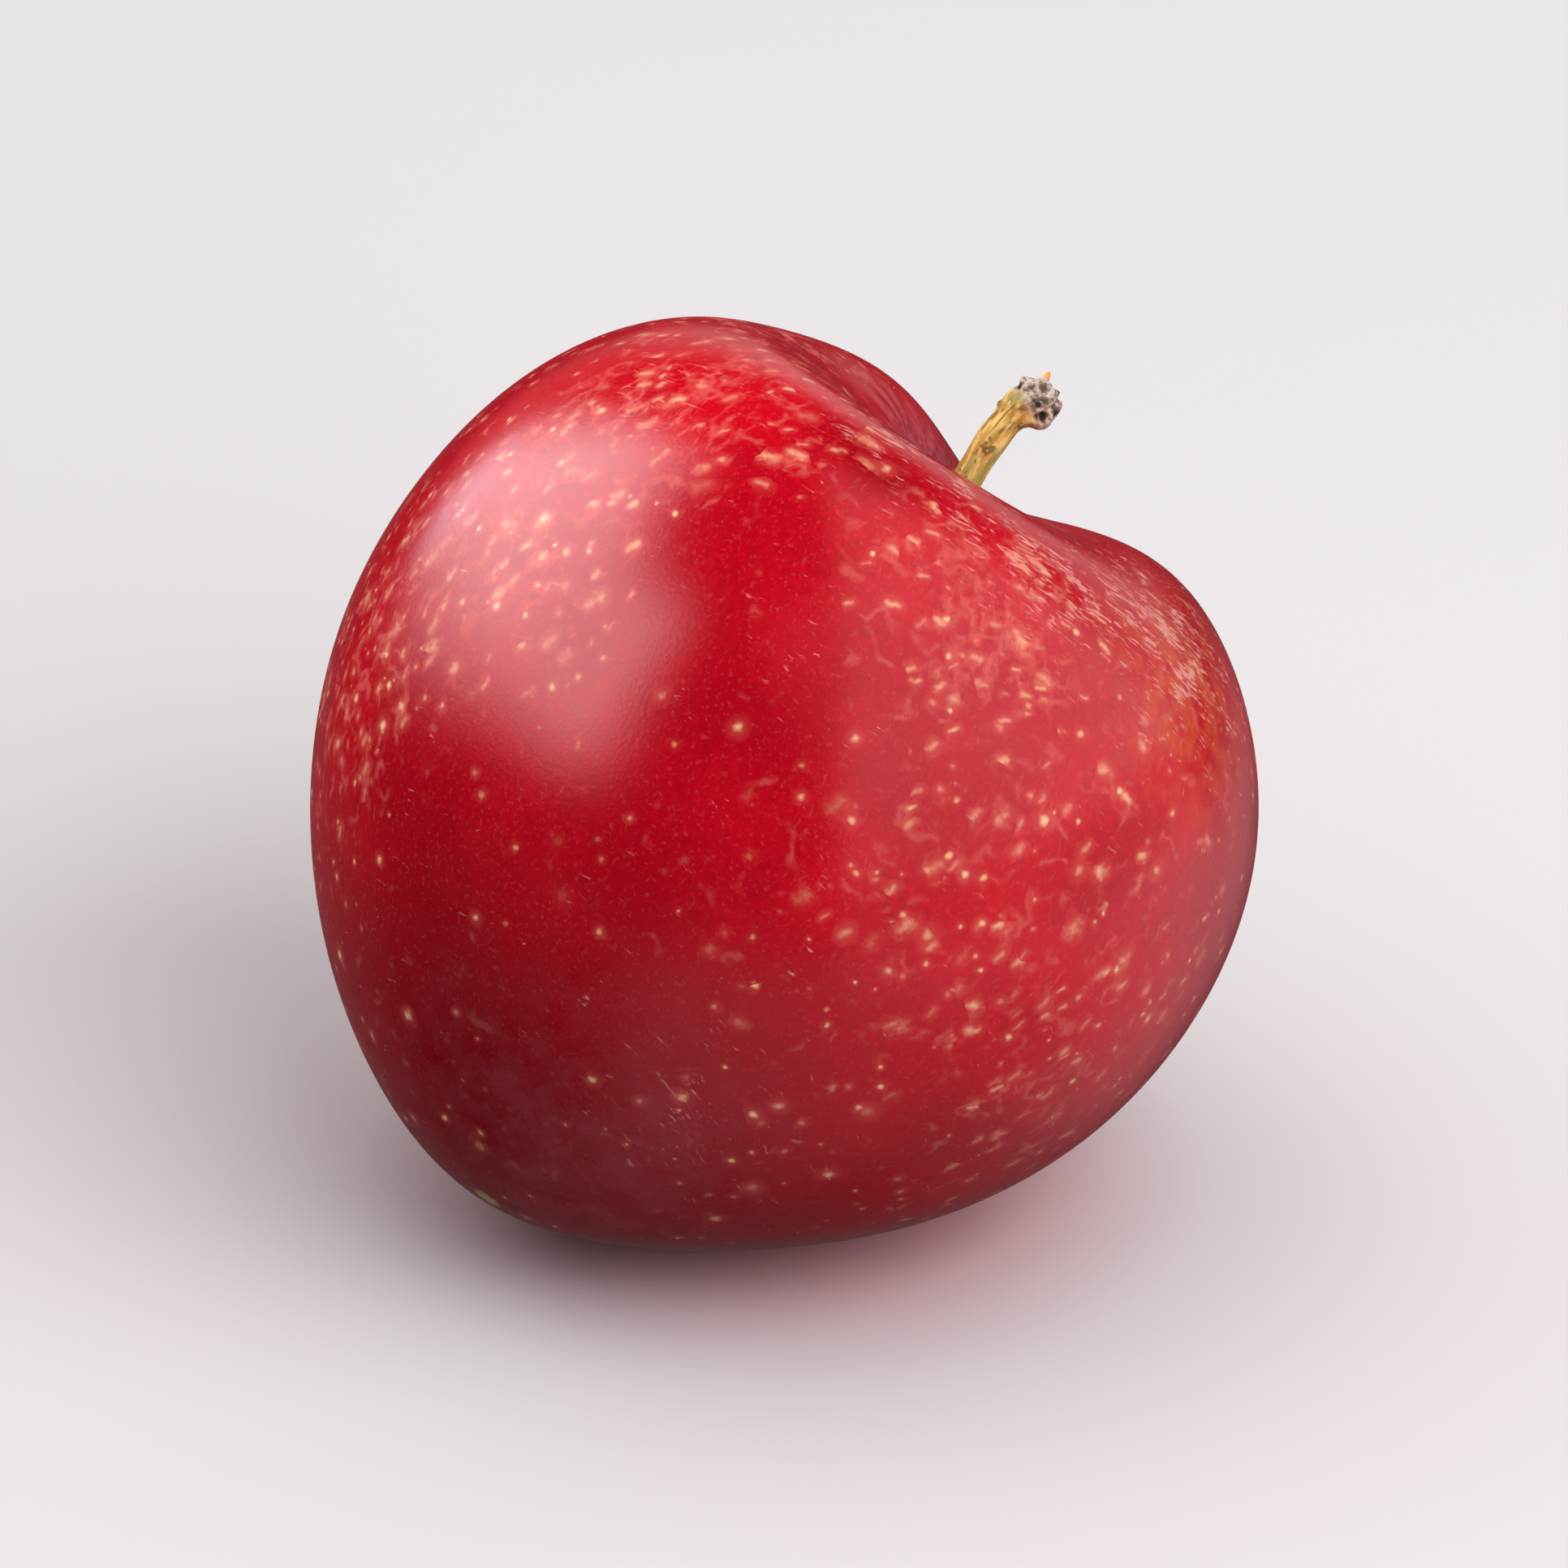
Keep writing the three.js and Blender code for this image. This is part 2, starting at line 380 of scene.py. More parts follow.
class Recipe:
    """The nodes of one material or of a world."""

    def __init__(self, name: str, shelf: Any = None) -> None:
        """Starts an empty recipe.

        Args:
            name: The name of the material or the world.
            shelf: Where Blender keeps its like; the materials if it is left out.
        """
        self.material = (bpy.data.materials if shelf is None else shelf).new(name)
        self.material.use_nodes = True
        self.tree = self.material.node_tree
        self.tree.nodes.clear()

    def node(self, kind: str, settings: Mapping[str, Any], inputs: Mapping[Any, Any]) -> bpy.types.Node:
        """Makes any node.

        Args:
            kind: The node's type.
            settings: The node's own properties, set first.
            inputs: A value or a signal for each input socket, by name or number.

        Returns:
            The node.
        """
        made = self.tree.nodes.new(kind)
        for name, value in settings.items():
            setattr(made, name, value)
        for name, value in inputs.items():
            self._feed(made.inputs[name], value)
        return made

    def signal(
        self, kind: str, settings: Mapping[str, Any], inputs: Mapping[Any, Any], output: Any = 0
    ) -> Signal:
        """Makes any node and gives one of its outputs."""
        return Signal(self, self.node(kind, settings, inputs).outputs[output])

    def _feed(self, socket: bpy.types.NodeSocket, value: Any) -> None:
        """Links a signal to a socket, or sets the socket's own value."""
        if isinstance(value, Signal):
            self.tree.links.new(value.socket, socket)
        elif socket.type == "RGBA":
            socket.default_value = (*value, 1.0)
        elif socket.type == "VECTOR" and isinstance(value, (int, float)):
            socket.default_value = (value, value, value)
        else:
            socket.default_value = value

    def mix(self, share: Any, first: Any, second: Any) -> Signal:
        """A colour between two others: the first where share is 0, the second where it is 1."""
        settings = {"data_type": "RGBA", "clamp_factor": True}
        inputs = {0: share, MIX_FIRST: first, MIX_SECOND: second}
        return self.signal("ShaderNodeMix", settings, inputs, MIX_RESULT)

    def noise(self, place: Signal, grain: Grain) -> Signal:
        """Soft random variation between 0 and 1, as a grain says."""
        inputs = {"Scale": 1.0 / grain.size, "Detail": grain.detail, "Roughness": grain.roughness}
        where = place + grain.shift if grain.shift else place
        return self.signal("ShaderNodeTexNoise", {}, {"Vector": where, **inputs})

    def wander(self, place: Signal, size: float, reach: float) -> Signal:
        """A random vector that changes over a size and is at most about reach long."""
        inputs = {"Vector": place, "Scale": 1.0 / size, "Detail": 1.0}
        return (self.signal("ShaderNodeTexNoise", {}, inputs, "Color") - 0.5) * (2.0 * reach)

    def joined(self, x: Any, y: Any, z: Any = 0.0) -> Signal:
        """A vector of three numbers."""
        return self.signal("ShaderNodeCombineXYZ", {}, {0: x, 1: y, 2: z})

    def attribute(self, name: str) -> Signal:
        """The mesh's own attribute, as a vector."""
        settings = {"attribute_type": "GEOMETRY", "attribute_name": name}
        return self.signal("ShaderNodeAttribute", settings, {}, "Vector")

    def relief(self, height: Signal, strength: float = 1.0) -> Signal:
        """The normal of a surface whose fine relief has a height in millimetres."""
        inputs = {"Strength": strength, "Distance": MILLIMETRE, "Height": height}
        return self.signal("ShaderNodeBump", {}, inputs)

    def finish(self, shader: bpy.types.Node) -> bpy.types.Material:
        """Joins the shader to the material's output."""
        self.node("ShaderNodeOutputMaterial", {}, {"Surface": Signal(self, shader.outputs[0])})
        return self.material


# ---- Finishes ----

CREAM: Colour = (0.88, 0.53, 0.30)
PALE_PINK: Colour = (0.78, 0.26, 0.20)
YELLOW: Colour = (0.92, 0.56, 0.26)
SILVER: Colour = (0.84, 0.42, 0.36)
HALO: Colour = (0.66, 0.10, 0.08)


class Zone(Enum):
    """What decides how thickly a kind of mark is strewn."""

    DOTS = 0
    NET = 1
    STREAKS = 2


class Run(Enum):
    """Which way a pattern on the skin is drawn out."""

    ROUND_THE_STEM = auto()
    STEM_TO_TIP = auto()


@dataclass(frozen=True)
class SkinSpace:
    """What a pattern on the skin is laid out by, in millimetres."""

    recipe: Recipe
    place: Signal
    normal: Signal
    upright: Signal
    grain_way: Signal
    fibre: Signal
    zones: tuple[Signal, Signal, Signal]

    def drawn_out(self, run: Run, stretch: float) -> Signal:
        """Coordinates in which a noise is drawn out along the skin.

        Args:
            run: The way it is drawn out.
            stretch: How many times longer than wide its features become.

        Returns:
            The coordinates, in millimetres across the features.
        """
        x, y, z = self.upright.parts()
        level = self.recipe.joined(x, y)
        if run is Run.ROUND_THE_STEM:
            across = self.recipe.joined(level.length(), z)
        else:
            across = level.unit() * FruitForm.mean_radius
        return across + self.place * (1.0 / stretch)


@dataclass(frozen=True)
class Flecks:
    """Pale lenticels: round dots with soft halos, or frayed dashes that run along the skin's grain.

    The skin is filled with random cells that are spacing wide, and each may hold one fleck. skin_depth
    is how far from the skin, in spacings, the middle of a fleck still shows in full, and not at all.
    """

    zone: Zone
    spacing: float
    radius: float
    colour: Colour
    opacity: float
    share: float = 1.0
    length: float = 0.0
    swerve: float = 1.4
    smallest: float = 0.5
    halo: float = 1.0
    halo_core: float = 0.3
    halo_opacity: float = 0.3
    fraying: float = 0.6
    softness: float = 1.0
    faintest: float = 0.2
    chance_edge: float = 0.15
    skin_depth: tuple[float, float] = (0.132, 0.22)
    smear: float = 0.14
    smear_size: float = 0.7
    shift: float = 0.0

    def _away(self, skin: SkinSpace, flat: Signal, chances: Signal) -> Signal:
        """How far a place is from the middle of its dot, or from the line of its dash."""
        if not self.length:
            return flat.length()
        way = (skin.grain_way + (chances - 0.5) * self.swerve).unit()
        half = self.length / 2.0
        along = flat.dot(way).least(half).most(-half)
        return (flat - way * along).length()

    def paint(self, skin: SkinSpace, colour: Signal) -> tuple[Signal, Signal]:
        """Strews the lenticels over a colour.

        Args:
            skin: The place, normal and zones that they follow.
            colour: What they are painted on.

        Returns:
            The painted colour, and a mask that is 1 on the lenticels.
        """
        recipe = skin.recipe
        place = skin.place + self.shift
        place = place + recipe.wander(place, self.smear_size, self.smear)
        inputs = {"Vector": place, "Scale": 1.0 / self.spacing, "Randomness": 1.0}
        cell = recipe.node("ShaderNodeTexVoronoi", {"feature": "F1"}, inputs)
        chances = Signal(recipe, cell.outputs["Color"])
        chance, size_chance, fade_chance = chances.parts()
        offset = place - Signal(recipe, cell.outputs["Position"])
        depth = offset.dot(skin.normal)
        away = self._away(skin, offset - skin.normal * depth, chances)
        size = self.radius * (self.smallest + size_chance)
        level = skin.zones[self.zone.value] * self.share
        buried = abs(depth).rise(*(share * self.spacing for share in self.skin_depth))
        shown = (level - chance).rise(0.0, self.chance_edge) * (1.0 - buried)
        frayed = 1.0 - away / size + (skin.fibre - 0.5) * self.fraying
        strength = self.faintest + (1.0 - self.faintest) * fade_chance
        mark = frayed.rise(0.0, self.softness) * shown * strength
        halo = (1.0 - away.rise(size * self.halo_core, size * (1.0 + self.halo))) * shown
        colour = recipe.mix(halo * self.halo_opacity, colour, HALO)
        return recipe.mix(mark * self.opacity, colour, self.colour), mark


@dataclass(frozen=True)
class Crackle:
    """Pale russet lines where a noise is near its middle, frayed and broken into worm-like dashes."""

    zone: Zone
    colour: Colour
    opacity: float
    lines: Grain = Grain(2.0, 1.0, 0.6)
    line_width: float = 0.09
    fraying: float = 1.6
    softness: float = 1.1
    gaps: Grain = Grain(1.7, 1.0, shift=6.0, edge=(0.62, 0.82))
    zone_share: float = 0.3

    def paint(self, skin: SkinSpace, colour: Signal) -> tuple[Signal, Signal]:
        """Draws the lines on a colour.

        Args:
            skin: The place and zones that they follow.
            colour: What they are painted on.

        Returns:
            The painted colour, and a mask that is 1 on the lines.
        """
        recipe = skin.recipe
        away = abs(recipe.noise(skin.place, self.lines) - 0.5) * (1.0 / self.line_width)
        frayed = 1.0 - away + (skin.fibre - 0.5) * self.fraying
        gaps = recipe.noise(skin.place, self.gaps) + skin.zones[self.zone.value] * self.zone_share
        line = frayed.rise(0.0, self.softness) * gaps.shown(self.gaps)
        return recipe.mix(line * self.opacity, colour, self.colour), line


@dataclass(frozen=True)
class Feathers:
    """Soft pale mottling, drawn out along the skin and gathered in loose clusters."""

    zone: Zone
    run: Run
    size: float
    stretch: float
    colour: Colour
    opacity: float
    level: float = 0.7
    softness: float = 0.22
    detail: float = 2.0
    roughness: float = 0.65
    smear: float = 0.3
    smear_size: float = 1.3
    cluster: float = 3.2
    cluster_share: float = 0.5
    zone_share: float = 0.25

    def paint(self, skin: SkinSpace, colour: Signal) -> tuple[Signal, Signal]:
        """Mottles a colour.

        Args:
            skin: The place and zones that the mottling follows.
            colour: What it is painted on.

        Returns:
            The painted colour, and a mask that is 1 on the mottling.
        """
        recipe = skin.recipe
        place = skin.drawn_out(self.run, self.stretch)
        place = place + recipe.wander(skin.place, self.smear_size, self.smear)
        plume = recipe.noise(place, Grain(self.size, self.detail, self.roughness))
        clusters = recipe.noise(skin.place, Grain(self.cluster, 1.0)) * self.cluster_share
        start = self.level + 0.5 * self.cluster_share
        thick = plume + clusters + skin.zones[self.zone.value] * self.zone_share
        mark = thick.rise(start, start + self.softness)
        return recipe.mix(mark * self.opacity, colour, self.colour), mark


@dataclass(frozen=True)
class SkinFinish:
    """The plum's skin: crimson, waxy and marked with pale lenticels."""

    # Painted shade: the skin is darkened toward this red over the shade patches, partly darker skin and
    # partly shade that falls there.
    dark_skin_and_shade_red: Colour = (0.20, 0.0006, 0.004)
    crimson: Colour = (0.43, 0.0009, 0.010)
    bright: Colour = (0.55, 0.0022, 0.012)
    pit_pink: Colour = (0.42, 0.035, 0.07)
    pit_shade: Colour = (0.16, 0.018, 0.03)
    suture_lilac: Colour = (0.42, 0.05, 0.10)
    blush: Colour = (0.62, 0.13, 0.02)
    bloom: Colour = (0.34, 0.06, 0.10)
    scar: Colour = (0.52, 0.33, 0.17)
    clouds: Grain = Grain(11.0, edge=(0.35, 0.7))
    mottle: Grain = Grain(0.5, roughness=0.6, share=0.5)
    pores: Grain = Grain(0.26, 1.0, edge=(0.56, 0.8), share=0.07)
    fibre: Grain = Grain(0.4, roughness=0.6)
    blotches: Grain = Grain(1.5, edge=(0.3, 0.75))
    dust: Grain = Grain(2.4, 3.0, 0.6, edge=(0.25, 0.8))
    wall_edge: tuple[float, float] = (0.35, 0.65)
    suture_share: float = 0.6
    pit_share: float = 0.85
    bloom_share: float = 0.45
    roughness: float = 0.2
    marked_roughness: float = 0.15
    dusty_roughness: float = 0.2
    mottled_roughness: float = 0.08
    pit_roughness: float = 0.2
    pore_depth: float = 0.006
    refraction: float = 1.45
    marks: tuple[Feathers | Crackle | Flecks, ...] = (
        Feathers(Zone.NET, Run.STEM_TO_TIP, 0.7, 1.6, PALE_PINK, 0.24, softness=0.4),
        Feathers(Zone.STREAKS, Run.ROUND_THE_STEM, 0.28, 4.4, SILVER, 0.58, level=0.71, cluster=1.6),
        Crackle(Zone.NET, PALE_PINK, 0.2),
        Flecks(
            Zone.NET, 1.9, 0.46, CREAM, 0.8, length=0.6,
            fraying=1.3, softness=1.6, smear=0.3, shift=5.0,
        ),
        Flecks(
            Zone.NET, 1.2, 0.27, CREAM, 0.95, length=0.5, halo=1.8,
            fraying=0.8, softness=1.5, smear=0.2, shift=23.0,
        ),
        Flecks(Zone.DOTS, 2.1, 0.32, CREAM, 0.95, halo=1.6, fraying=0.9, shift=11.0),
        Flecks(Zone.DOTS, 1.4, 0.21, YELLOW, 0.95, share=0.8, halo=1.4, shift=37.0),
    )

    def material(self) -> bpy.types.Material:
        """The skin as a material."""
        recipe = Recipe("plum skin")
        where = recipe.node("ShaderNodeTexCoord", {}, {})
        place = Signal(recipe, where.outputs["Object"]) * (1.0 / MILLIMETRE)
        normal = Signal(recipe, where.outputs["Normal"])
        upright, grain_way = recipe.attribute("upright"), recipe.attribute("grain_way")
        zones = recipe.attribute("marks").parts()
        pit, suture, blush = recipe.attribute("tint").parts()
        bloom, painted_shade_and_dark_skin, scar = recipe.attribute("cast").parts()
        fibre = recipe.noise(place, self.fibre)
        skin = SkinSpace(recipe, place, normal, upright, grain_way, fibre, zones)

        pores = recipe.noise(place, self.pores)
        mottle = recipe.noise(place, self.mottle)
        clouds = recipe.noise(place, self.clouds) + (mottle - 0.5) * self.mottle.share
        colour = recipe.mix(clouds.shown(self.clouds), self.crimson, self.bright)
        # Painted shade: darkens the skin toward a deep red over the shade patches, partly darker skin and
        # partly painted shade.
        colour = recipe.mix(painted_shade_and_dark_skin, colour, self.dark_skin_and_shade_red)
        colour = recipe.mix(pores.shown(self.pores), colour, PALE_PINK)
        blotches = recipe.noise(place, self.blotches).shown(self.blotches)
        colour = recipe.mix(blush * blotches, colour, self.blush)
        colour = recipe.mix(suture * self.suture_share, colour, self.suture_lilac)
        wall = recipe.mix(mottle.rise(*self.wall_edge), self.pit_shade, self.pit_pink)
        colour = recipe.mix(pit * self.pit_share, colour, wall)
        dust = bloom * recipe.noise(place, self.dust).shown(self.dust)
        colour = recipe.mix(dust * self.bloom_share, colour, self.bloom)
        masks = []
        for layer in self.marks:
            colour, mask = layer.paint(skin, colour)
            masks.append(mask)
        colour = recipe.mix(scar, colour, self.scar)

        roughness = self.roughness + reduce(Signal.most, masks) * self.marked_roughness
        roughness = roughness + dust * self.dusty_roughness + pit * self.pit_roughness
        roughness = roughness + (mottle - 0.5) * self.mottled_roughness
        relief = recipe.relief((pores - 0.5) * self.pore_depth)
        inputs = {"Base Color": colour, "Roughness": roughness, "Normal": relief, "IOR": self.refraction}
        return recipe.finish(recipe.node("ShaderNodeBsdfPrincipled", {}, inputs))


@dataclass(frozen=True)
class BarkFinish:
    """The stalk: ochre wood with brown patches and a grey corky head, whose hollows are darkened as painted
    shade.
    """

    ochre: Colour = (0.42, 0.23, 0.05)
    straw: Colour = (0.72, 0.47, 0.15)
    brown: Colour = (0.10, 0.045, 0.018)
    green: Colour = (0.24, 0.21, 0.06)
    cork: Colour = (0.58, 0.48, 0.40)
    # The cork's dark end: shown by random grit, and as painted shade where the head is sunk.
    dark_cork_and_shade: Colour = (0.17, 0.11, 0.08)
    # Painted shade: near-black put in the deepest hollows of the corky head.
    hollow: Colour = (0.022, 0.014, 0.010)
    splinter: Colour = (0.90, 0.34, 0.03)
    fibre: Grain = Grain(0.3, 3.0, 0.6, edge=(0.4, 0.62))
    blotch: Grain = Grain(0.9, edge=(0.5, 0.62), share=0.8)
    groove: Grain = Grain(0.42, 2.0, 0.6, shift=3.0, edge=(0.54, 0.64), share=0.7)
    spots: Grain = Grain(0.9, 3.0, 0.7, shift=7.0, edge=(0.6, 0.66))
    stain: Grain = Grain(1.1, 3.0, 0.6, shift=19.0, edge=(0.62, 0.78))
    foot_stain: float = 0.3
    stained_share: float = 0.8
    knot_share: float = 0.9
    grit: Grain = Grain(0.22, 3.0, 0.65, edge=(0.36, 0.66))
    sunk_level: float = 0.4
    sunk_painted_shade: float = 0.5
    painted_hollow_shade_edge: tuple[float, float] = (0.5, 0.8)
    fibre_depth: float = 0.09
    grit_depth: float = 0.05
    bump_strength: float = 0.8
    roughness: float = 0.82
    gritty_roughness: float = 0.2

    def material(self) -> bpy.types.Material:
        """The bark as a material."""
        recipe = Recipe("plum stalk")
        where = recipe.node("ShaderNodeTexCoord", {}, {})
        place = Signal(recipe, where.outputs["Object"]) * (1.0 / MILLIMETRE)
        strands = recipe.attribute("strands")
        head, sunk, splinter = recipe.attribute("bark").parts()
        foot, knot, _ = recipe.attribute("wear").parts()

        fibre = recipe.noise(strands, self.fibre)
        colour = recipe.mix(fibre.shown(self.fibre), self.ochre, self.straw)
        colour = recipe.mix(recipe.noise(strands, self.blotch).shown(self.blotch), colour, self.green)
        colour = recipe.mix(recipe.noise(strands, self.groove).shown(self.groove), colour, self.brown)
        spots = recipe.noise(place, self.spots).shown(self.spots)
        stain = (recipe.noise(place, self.stain) + foot * self.foot_stain).shown(self.stain)
        colour = recipe.mix((spots + stain).least(1.0) * self.stained_share, colour, self.brown)
        colour = recipe.mix(knot * self.knot_share, colour, self.brown)
        grit = recipe.noise(place, self.grit)
        # Painted shade: the cork darkens where the head is sunk, on top of its random grit.
        pale = (grit + (self.sunk_level - sunk) * self.sunk_painted_shade).shown(self.grit)
        colour = recipe.mix(head, colour, recipe.mix(pale, self.dark_cork_and_shade, self.cork))
        # Painted shade: the deepest hollows of the head go near-black.
        colour = recipe.mix(sunk.rise(*self.painted_hollow_shade_edge), colour, self.hollow)
        colour = recipe.mix(splinter, colour, self.splinter)

        relief = recipe.relief(fibre * self.fibre_depth + grit * self.grit_depth, self.bump_strength)
        roughness = self.roughness + (grit - 0.5) * self.gritty_roughness
        inputs = {"Base Color": colour, "Roughness": roughness, "Normal": relief}
        return recipe.finish(recipe.node("ShaderNodeBsdfPrincipled", {}, inputs))


# ---- Pieces ----


def new_piece(name: str, mesh: bmesh.types.BMesh, material: bpy.types.Material) -> bpy.types.Object:
    """Turns a finished bmesh into a smooth object at the origin.

    Args:
        name: The object's name.
        mesh: The mesh, already in place; it is freed.
        material: Its only material.

    Returns:
        The object, linked to the scene.
    """
    data = bpy.data.meshes.new(name)
    for face in mesh.faces:
        face.smooth = True
    mesh.to_mesh(data)
    mesh.free()
    data.materials.append(material)
    piece = bpy.data.objects.new(name, data)
    bpy.context.scene.collection.objects.link(piece)
    return piece


@dataclass
class Fruit:
    """The plum's flesh and skin, grown as one piece.

    A pair of numbers is where something starts and where it is full: from the stalk's line for the
    wrinkles and the pit, and in degrees from the tip for its scar and from the stem for the grain.
    Marks, tints and casts lie on patches, and the net and the dots also have a level all over. One of the
    casts is painted shade, partly darker skin.
    """

    form: FruitForm
    placing: Matrix
    finish: SkinFinish
    segments: int = 72
    rings: int = 56
    cuts: int = 3
    ring_crowding: float = 1.25
    skin_inset: float = 0.03
    swell: float = 0.06
    swell_size: float = 9.0
    wrinkles: int = 23
    wrinkle_depth: float = 0.11
    wrinkle_mean: float = 0.6
    wrinkle_swing: float = 0.8
    wrinkle_change: float = 5.0
    wrinkle_from: tuple[float, float] = (1.2, 2.6)
    wrinkle_to: tuple[float, float] = (5.5, 9.0)
    sway: float = 3.0
    sway_round: float = 2.3
    sway_outward: float = 0.25
    pit_reach: tuple[float, float] = (3.5, 8.0)
    pit_streak_loss: float = 0.5
    scar_reach: tuple[float, float] = (1.2, 2.0)
    grain_turns: tuple[float, float] = (62.0, 78.0)
    early_turn: Patch = Patch(58, -114, 15, 1.3)
    net_ground: float = 0.1
    dots_ground: float = 0.16
    net: tuple[Patch, ...] = (
        Patch(54, -104, 14, 0.6),
        Patch(62, -120, 14, 0.5),
        Patch(90, -112, 18, 0.62),
        Patch(106, -134, 18, 0.55),
        Patch(126, -130, 14, 0.4),
        Patch(38, -145, 16, 0.6),
        Patch(62, -57, 14, 0.85),
        Patch(84, -36, 24, 0.4),
        Patch(98, -8, 20, 0.4),
        Patch(70, 60, 40, 0.5),
        Patch(110, 150, 40, 0.45),
        Patch(86, -76, 13, -0.4),
        Patch(136, -80, 26, -0.6),
        Patch(132, -20, 22, -0.2),
    )
    dots: tuple[Patch, ...] = (
        Patch(112, -134, 24, 1.0),
        Patch(104, -34, 28, 0.45),
        Patch(80, -24, 24, 0.3),
        Patch(138, -28, 26, 0.35),
        Patch(88, -114, 20, 0.65),
        Patch(100, 60, 50, 0.4),
        Patch(120, 160, 40, 0.4),
        Patch(86, -76, 12, -0.2),
    )
    streaks: tuple[Patch, ...] = (
        Patch(51, -54, 12, 0.9),
        Patch(46, -24, 14, 1.0),
        Patch(46, -86, 12, 0.75),
        Patch(60, -113, 9, 0.5),
        Patch(34, 20, 20, 0.6),
        Patch(139, -34, 12, 0.45),
        Patch(40, 130, 26, 0.6),
    )
    blush: tuple[Patch, ...] = (
        Patch(50, -20, 12, 0.65),
        Patch(38, 100, 15, 0.9),
        Patch(52, 150, 12, 0.5),
    )
    bloom: tuple[Patch, ...] = (
        Patch(162, -40, 26, 0.8),
        Patch(30, -60, 14, 0.35),
        Patch(130, 100, 26, 0.5),
        Patch(70, 90, 22, 0.35),
    )
    # Painted shade: patches that darken the skin where shade falls, on the lower left, lower right and
    # underside, in a wedge below the stem, in a band below the cavity's lip and on the upper left; partly
    # also darker skin.
    painted_shade_and_dark_skin: tuple[Patch, ...] = (
        Patch(150, -95, 34, 0.7),
        Patch(90, -74, 18, 0.3),
        Patch(70, -86, 14, 0.2),
        Patch(92, -112, 22, 0.35),
        Patch(53, -87, 6, 0.45),
        Patch(55, -78, 5, 0.45),
        Patch(125, -15, 26, 0.3),
        Patch(130, 50, 30, 0.4),
        Patch(165, -20, 30, 0.5),
    )

    def _from_stalk(self, direction: Vector, point: Vector) -> float:
        """How far a point is from the line of the stalk; endless on the half that faces the tip."""
        return self.form.from_stalk(point) if direction.z > 0.0 else math.inf

    def _wrinkle(self, away: float, point: Vector) -> float:
        """How far the wrinkles round the stalk move a point outwards; below zero where it sinks."""
        if away > self.wrinkle_to[1]:
            return 0.0
        turn = math.atan2(point.y - self.form.cavity_y, point.x - self.form.cavity_x)
        ring = level_direction(turn)
        swayed = noise.noise(ring * self.sway_round + STEM_AXIS * away * self.sway_outward)
        phase = self.wrinkles * turn + self.sway * swayed
        strength = fade(away, *self.wrinkle_from) * (1.0 - fade(away, *self.wrinkle_to))
        change = self.wrinkle_swing * noise.noise(ring * self.wrinkle_change)
        depth = self.wrinkle_depth * (self.wrinkle_mean + change)
        return depth * strength * (math.cos(phase) - 1.0) * 0.5

    def _outset(self, direction: Vector, point: Vector) -> float:
        """How far the fine relief moves a point of the skin outwards; below zero where it sinks."""
        swell = self.swell * (noise.noise(point / self.swell_size) - 1.0) * 0.5
        return swell - self.skin_inset + self._wrinkle(self._from_stalk(direction, point), point)

    def _grain(self, direction: Vector) -> Vector:
        """Which way the dashes run: round the stem near it, and to the tip past a polar angle.

        Args:
            direction: Where on the skin they are, from the core.

        Returns:
            The way along the skin. On the patch of the early turn it already leads to the tip.
        """
        to_tip = (direction * direction.z - STEM_AXIS).normalized()
        share = patched((self.early_turn,), direction, fade(polar_of(direction), *self.grain_turns))
        return (to_tip * share + to_tip.cross(direction) * (1.0 - share)).normalized()

    def _levels(self, direction: Vector, point: Vector) -> dict[str, tuple[float, float, float]]:
        """How strong each mark, tint and cast is at a place on the skin.

        Args:
            direction: The place's direction from the core.
            point: The place itself.

        Returns:
            Three levels for each of the mesh's colour layers, by the layer's name.
        """
        pit = 1.0 - fade(self._from_stalk(direction, point), *self.pit_reach)
        suture = self.form.suture_share(polar_of(direction), turn_of(direction))
        tip = math.degrees(self.form.tip().angle(direction))
        scar = 1.0 - fade(tip, *self.scar_reach)
        return {
            "marks": (
                patched(self.dots, direction, self.dots_ground) * (1.0 - pit),
                patched(self.net, direction, self.net_ground) * (1.0 - pit),
                patched(self.streaks, direction) * (1.0 - self.pit_streak_loss * pit),
            ),
            "tint": (pit, suture, patched(self.blush, direction)),
            "cast": (patched(self.bloom, direction), patched(self.painted_shade_and_dark_skin, direction), scar),
        }

    def build(self) -> bpy.types.Object:
        """Makes the fruit in place of its node.

        Returns:
            The fruit, riding on the frame's body.
        """
        mesh = bmesh.new()
        bmesh.ops.create_uvsphere(mesh, u_segments=self.segments, v_segments=self.rings, radius=1.0)
        bmesh.ops.subdivide_edges(mesh, edges=mesh.edges, cuts=self.cuts, use_grid_fill=True)
        colours = {name: mesh.verts.layers.float_color.new(name) for name in ("marks", "tint", "cast")}
        upright = mesh.verts.layers.float_vector.new("upright")
        grain_way = mesh.verts.layers.float_vector.new("grain_way")
        turned = self.placing.to_3x3().normalized()
        pole = self.form.cavity_floor().normalized()
        tilt = STEM_AXIS.rotation_difference(pole).to_matrix()
        floor_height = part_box("fruit")[0].z
        for vertex in mesh.verts:
            ring = polar_of(vertex.co.normalized()) / 180.0
            direction = tilt @ direction_at(180.0 * ring**self.ring_crowding, turn_of(vertex.co))
            point = self.form.skin_point(direction)
            for name, level in self._levels(direction, point).items():
                vertex[colours[name]] = (*level, 1.0)
            vertex[upright] = point
            vertex[grain_way] = turned @ self._grain(direction)
            vertex.co = self.placing @ (point + direction * self._outset(direction, point))
            vertex.co.z = max(vertex.co.z, floor_height)
        piece = new_piece("plum_fruit", mesh, self.finish.material())
        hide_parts("fruit")
        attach(piece, "root")
        LOG.info("fruit: %d faces", len(piece.data.polygons))
        return piece


